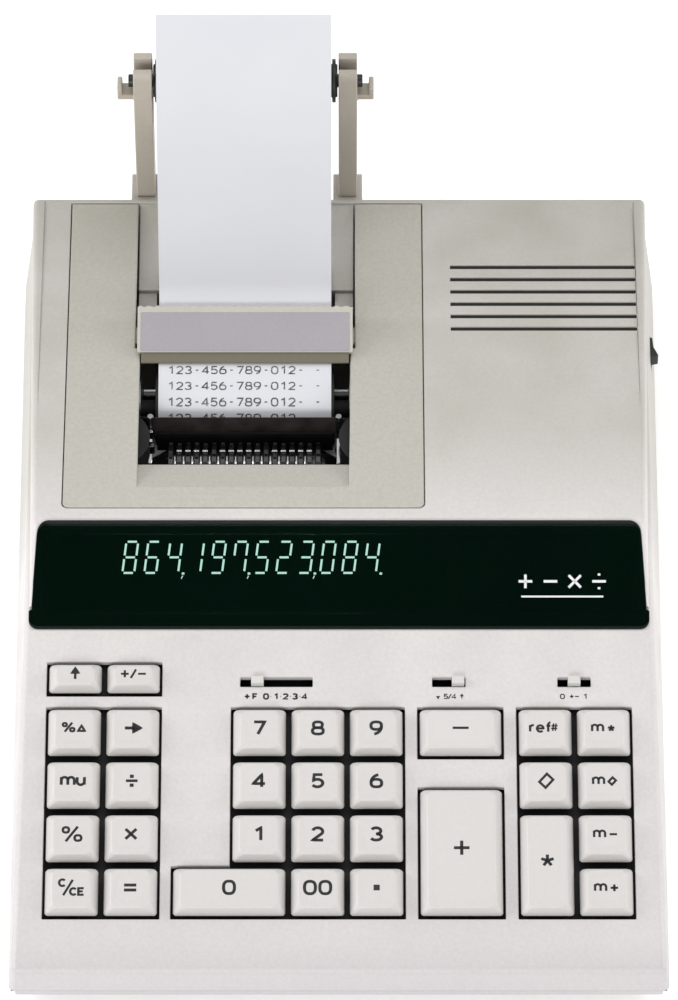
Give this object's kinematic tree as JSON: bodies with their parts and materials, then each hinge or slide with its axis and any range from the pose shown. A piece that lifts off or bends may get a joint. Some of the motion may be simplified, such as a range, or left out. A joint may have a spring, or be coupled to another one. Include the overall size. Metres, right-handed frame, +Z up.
{
  "type": "printing desk calculator",
  "caption": "Desktop printing calculator: sloping keyboard, tilted display window, drum printer under a lift-off cover, and a paper roll on two rear arms.",
  "frame": {"origin": "on the table under the middle of the whole object's box", "axes": "+Z up, +Y from the front edge to the back, +X to the user's right"},
  "size_m": [0.2184, 0.3242, 0.1621],
  "materials": {
    "case": "fine texture, warm grey-beige",
    "keycap": "satin off-white",
    "tear_bar": "satin grey",
    "window": "polished dark green acrylic",
    "tube": "dark display glass",
    "board": "green solder mask",
    "black_plastic": "satin black",
    "dome_rubber": "matte grey silicone",
    "iron": "varnished laminations",
    "arm_plastic": "fine texture, grey-beige",
    "paper": "smooth white",
    "steel": "zinc plated",
    "platen": "matte black",
    "type_wheels": "moulded black with worn faces",
    "ribbon": "inked woven nylon",
    "rubber": "matte black"
  },
  "bodies": {
    "case": {"top_housing": "case", "bottom_housing": "case", "display_window": "window", "display_tube": "tube", "circuit_boards": "board", "key_guide_frame": "black_plastic", "rubber_dome_mat": "dome_rubber", "power_transformer": "iron", "mains_inlet": "black_plastic", "switch_bodies": "black_plastic", "paper_arms": "arm_plastic", "paper_strip": "paper", "printer_frame": "steel", "ink_ribbon": "ribbon", "printer_motor": "steel", "rubber_feet": "rubber", "case_screws": "steel"},
    "cover": {"printer_cover": "case", "tear_bar": "tear_bar"},
    "key_feed": {"key_feed": "keycap"},
    "key_sign": {"key_sign": "keycap"},
    "key_delta": {"key_delta": "keycap"},
    "key_arrow": {"key_arrow": "keycap"},
    "key_markup": {"key_markup": "keycap"},
    "key_divide": {"key_divide": "keycap"},
    "key_percent": {"key_percent": "keycap"},
    "key_times": {"key_times": "keycap"},
    "key_clear": {"key_clear": "keycap"},
    "key_equals": {"key_equals": "keycap"},
    "key_7": {"key_7": "keycap"},
    "key_8": {"key_8": "keycap"},
    "key_9": {"key_9": "keycap"},
    "key_4": {"key_4": "keycap"},
    "key_5": {"key_5": "keycap"},
    "key_6": {"key_6": "keycap"},
    "key_1": {"key_1": "keycap"},
    "key_2": {"key_2": "keycap"},
    "key_3": {"key_3": "keycap"},
    "key_0": {"key_0": "keycap"},
    "key_00": {"key_00": "keycap"},
    "key_point": {"key_point": "keycap"},
    "key_minus": {"key_minus": "keycap"},
    "key_plus": {"key_plus": "keycap"},
    "key_ref": {"key_ref": "keycap"},
    "key_memory_total": {"key_memory_total": "keycap"},
    "key_diamond": {"key_diamond": "keycap"},
    "key_memory_diamond": {"key_memory_diamond": "keycap"},
    "key_star": {"key_star": "keycap"},
    "key_memory_minus": {"key_memory_minus": "keycap"},
    "key_memory_plus": {"key_memory_plus": "keycap"},
    "power_rocker": {"power_rocker": "black_plastic"},
    "decimal_selector": {"decimal_selector": "keycap"},
    "rounding_selector": {"rounding_selector": "keycap"},
    "print_selector": {"print_selector": "keycap"},
    "roll_spindle": {"roll_spindle": "black_plastic"},
    "paper_roll": {"paper_roll": "paper"},
    "platen_roller": {"platen_roller": "platen"},
    "type_drum": {"type_drum": "type_wheels"},
    "ribbon_spool_left": {"ribbon_spool_left": "black_plastic"},
    "ribbon_spool_right": {"ribbon_spool_right": "black_plastic"}
  },
  "joints": [
    {"name": "key_feed_press", "type": "slide", "parent": "case", "child": "key_feed", "axis": [0, 0.1788, -0.9839], "range_m": [0, 0.003], "stiffness_N_per_m": 200, "springref_m": -0.002, "deforming": ["rubber_dome_mat"]},
    {"name": "key_sign_press", "type": "slide", "parent": "case", "child": "key_sign", "axis": [0, 0.1788, -0.9839], "range_m": [0, 0.003], "stiffness_N_per_m": 200, "springref_m": -0.002, "deforming": ["rubber_dome_mat"]},
    {"name": "key_delta_press", "type": "slide", "parent": "case", "child": "key_delta", "axis": [0, 0.1788, -0.9839], "range_m": [0, 0.003], "stiffness_N_per_m": 200, "springref_m": -0.002, "deforming": ["rubber_dome_mat"]},
    {"name": "key_arrow_press", "type": "slide", "parent": "case", "child": "key_arrow", "axis": [0, 0.1788, -0.9839], "range_m": [0, 0.003], "stiffness_N_per_m": 200, "springref_m": -0.002, "deforming": ["rubber_dome_mat"]},
    {"name": "key_markup_press", "type": "slide", "parent": "case", "child": "key_markup", "axis": [0, 0.1788, -0.9839], "range_m": [0, 0.003], "stiffness_N_per_m": 200, "springref_m": -0.002, "deforming": ["rubber_dome_mat"]},
    {"name": "key_divide_press", "type": "slide", "parent": "case", "child": "key_divide", "axis": [0, 0.1788, -0.9839], "range_m": [0, 0.003], "stiffness_N_per_m": 200, "springref_m": -0.002, "deforming": ["rubber_dome_mat"]},
    {"name": "key_percent_press", "type": "slide", "parent": "case", "child": "key_percent", "axis": [0, 0.1788, -0.9839], "range_m": [0, 0.003], "stiffness_N_per_m": 200, "springref_m": -0.002, "deforming": ["rubber_dome_mat"]},
    {"name": "key_times_press", "type": "slide", "parent": "case", "child": "key_times", "axis": [0, 0.1788, -0.9839], "range_m": [0, 0.003], "stiffness_N_per_m": 200, "springref_m": -0.002, "deforming": ["rubber_dome_mat"]},
    {"name": "key_clear_press", "type": "slide", "parent": "case", "child": "key_clear", "axis": [0, 0.1788, -0.9839], "range_m": [0, 0.003], "stiffness_N_per_m": 200, "springref_m": -0.002, "deforming": ["rubber_dome_mat"]},
    {"name": "key_equals_press", "type": "slide", "parent": "case", "child": "key_equals", "axis": [0, 0.1788, -0.9839], "range_m": [0, 0.003], "stiffness_N_per_m": 200, "springref_m": -0.002, "deforming": ["rubber_dome_mat"]},
    {"name": "key_7_press", "type": "slide", "parent": "case", "child": "key_7", "axis": [0, 0.1788, -0.9839], "range_m": [0, 0.003], "stiffness_N_per_m": 200, "springref_m": -0.002, "deforming": ["rubber_dome_mat"]},
    {"name": "key_8_press", "type": "slide", "parent": "case", "child": "key_8", "axis": [0, 0.1788, -0.9839], "range_m": [0, 0.003], "stiffness_N_per_m": 200, "springref_m": -0.002, "deforming": ["rubber_dome_mat"]},
    {"name": "key_9_press", "type": "slide", "parent": "case", "child": "key_9", "axis": [0, 0.1788, -0.9839], "range_m": [0, 0.003], "stiffness_N_per_m": 200, "springref_m": -0.002, "deforming": ["rubber_dome_mat"]},
    {"name": "key_4_press", "type": "slide", "parent": "case", "child": "key_4", "axis": [0, 0.1788, -0.9839], "range_m": [0, 0.003], "stiffness_N_per_m": 200, "springref_m": -0.002, "deforming": ["rubber_dome_mat"]},
    {"name": "key_5_press", "type": "slide", "parent": "case", "child": "key_5", "axis": [0, 0.1788, -0.9839], "range_m": [0, 0.003], "stiffness_N_per_m": 200, "springref_m": -0.002, "deforming": ["rubber_dome_mat"]},
    {"name": "key_6_press", "type": "slide", "parent": "case", "child": "key_6", "axis": [0, 0.1788, -0.9839], "range_m": [0, 0.003], "stiffness_N_per_m": 200, "springref_m": -0.002, "deforming": ["rubber_dome_mat"]},
    {"name": "key_1_press", "type": "slide", "parent": "case", "child": "key_1", "axis": [0, 0.1788, -0.9839], "range_m": [0, 0.003], "stiffness_N_per_m": 200, "springref_m": -0.002, "deforming": ["rubber_dome_mat"]},
    {"name": "key_2_press", "type": "slide", "parent": "case", "child": "key_2", "axis": [0, 0.1788, -0.9839], "range_m": [0, 0.003], "stiffness_N_per_m": 200, "springref_m": -0.002, "deforming": ["rubber_dome_mat"]},
    {"name": "key_3_press", "type": "slide", "parent": "case", "child": "key_3", "axis": [0, 0.1788, -0.9839], "range_m": [0, 0.003], "stiffness_N_per_m": 200, "springref_m": -0.002, "deforming": ["rubber_dome_mat"]},
    {"name": "key_0_press", "type": "slide", "parent": "case", "child": "key_0", "axis": [0, 0.1788, -0.9839], "range_m": [0, 0.003], "stiffness_N_per_m": 200, "springref_m": -0.002, "deforming": ["rubber_dome_mat"]},
    {"name": "key_00_press", "type": "slide", "parent": "case", "child": "key_00", "axis": [0, 0.1788, -0.9839], "range_m": [0, 0.003], "stiffness_N_per_m": 200, "springref_m": -0.002, "deforming": ["rubber_dome_mat"]},
    {"name": "key_point_press", "type": "slide", "parent": "case", "child": "key_point", "axis": [0, 0.1788, -0.9839], "range_m": [0, 0.003], "stiffness_N_per_m": 200, "springref_m": -0.002, "deforming": ["rubber_dome_mat"]},
    {"name": "key_minus_press", "type": "slide", "parent": "case", "child": "key_minus", "axis": [0, 0.1788, -0.9839], "range_m": [0, 0.003], "stiffness_N_per_m": 200, "springref_m": -0.002, "deforming": ["rubber_dome_mat"]},
    {"name": "key_plus_press", "type": "slide", "parent": "case", "child": "key_plus", "axis": [0, 0.1788, -0.9839], "range_m": [0, 0.003], "stiffness_N_per_m": 200, "springref_m": -0.002, "deforming": ["rubber_dome_mat"]},
    {"name": "key_ref_press", "type": "slide", "parent": "case", "child": "key_ref", "axis": [0, 0.1788, -0.9839], "range_m": [0, 0.003], "stiffness_N_per_m": 200, "springref_m": -0.002, "deforming": ["rubber_dome_mat"]},
    {"name": "key_memory_total_press", "type": "slide", "parent": "case", "child": "key_memory_total", "axis": [0, 0.1788, -0.9839], "range_m": [0, 0.003], "stiffness_N_per_m": 200, "springref_m": -0.002, "deforming": ["rubber_dome_mat"]},
    {"name": "key_diamond_press", "type": "slide", "parent": "case", "child": "key_diamond", "axis": [0, 0.1788, -0.9839], "range_m": [0, 0.003], "stiffness_N_per_m": 200, "springref_m": -0.002, "deforming": ["rubber_dome_mat"]},
    {"name": "key_memory_diamond_press", "type": "slide", "parent": "case", "child": "key_memory_diamond", "axis": [0, 0.1788, -0.9839], "range_m": [0, 0.003], "stiffness_N_per_m": 200, "springref_m": -0.002, "deforming": ["rubber_dome_mat"]},
    {"name": "key_star_press", "type": "slide", "parent": "case", "child": "key_star", "axis": [0, 0.1788, -0.9839], "range_m": [0, 0.003], "stiffness_N_per_m": 200, "springref_m": -0.002, "deforming": ["rubber_dome_mat"]},
    {"name": "key_memory_minus_press", "type": "slide", "parent": "case", "child": "key_memory_minus", "axis": [0, 0.1788, -0.9839], "range_m": [0, 0.003], "stiffness_N_per_m": 200, "springref_m": -0.002, "deforming": ["rubber_dome_mat"]},
    {"name": "key_memory_plus_press", "type": "slide", "parent": "case", "child": "key_memory_plus", "axis": [0, 0.1788, -0.9839], "range_m": [0, 0.003], "stiffness_N_per_m": 200, "springref_m": -0.002, "deforming": ["rubber_dome_mat"]},
    {"name": "decimal_slide", "type": "slide", "parent": "case", "child": "decimal_selector", "axis": [1, 0, 0], "range_m": [-0.00315, 0.01575]},
    {"name": "rounding_slide", "type": "slide", "parent": "case", "child": "rounding_selector", "axis": [1, 0, 0], "range_m": [-0.0061, 0]},
    {"name": "print_slide", "type": "slide", "parent": "case", "child": "print_selector", "axis": [1, 0, 0], "range_m": [-0.00305, 0.00305]},
    {"name": "power_rock", "type": "hinge", "parent": "case", "child": "power_rocker", "pos_m": [0.1022, 0.0906, 0.023], "axis": [0, 0, 1], "range_deg": [-28, 0]},
    {"name": "cover_lift", "type": "slide", "parent": "case", "child": "cover", "axis": [0, 0, 1], "range_m": [0, 0.06]},
    {"name": "spindle_lift", "type": "slide", "parent": "case", "child": "roll_spindle", "axis": [0, 0, 1], "range_m": [0, 0.04]},
    {"name": "paper_roll_turn", "type": "hinge", "parent": "roll_spindle", "child": "paper_roll", "pos_m": [-0.0316, 0.1421, 0.106], "axis": [1, 0, 0], "continuous": true},
    {"name": "platen_turn", "type": "hinge", "parent": "case", "child": "platen_roller", "pos_m": [-0.0316, 0.0511, 0.042], "axis": [1, 0, 0], "continuous": true},
    {"name": "type_drum_turn", "type": "hinge", "parent": "case", "child": "type_drum", "pos_m": [-0.0316, 0.0256, 0.039], "axis": [1, 0, 0], "continuous": true},
    {"name": "ribbon_spool_left_turn", "type": "hinge", "parent": "case", "child": "ribbon_spool_left", "pos_m": [-0.0755, 0.0291, 0.049], "axis": [0, 0, 1], "continuous": true},
    {"name": "ribbon_spool_right_turn", "type": "hinge", "parent": "case", "child": "ribbon_spool_right", "pos_m": [0.0123, 0.0291, 0.049], "axis": [0, 0, 1], "continuous": true}
  ],
  "couplings": [
    {"joint": "paper_roll_turn", "follows": "platen_turn", "ratio": -0.61},
    {"joint": "ribbon_spool_left_turn", "follows": "platen_turn", "ratio": 0.25},
    {"joint": "ribbon_spool_right_turn", "follows": "platen_turn", "ratio": 0.25}
  ]
}
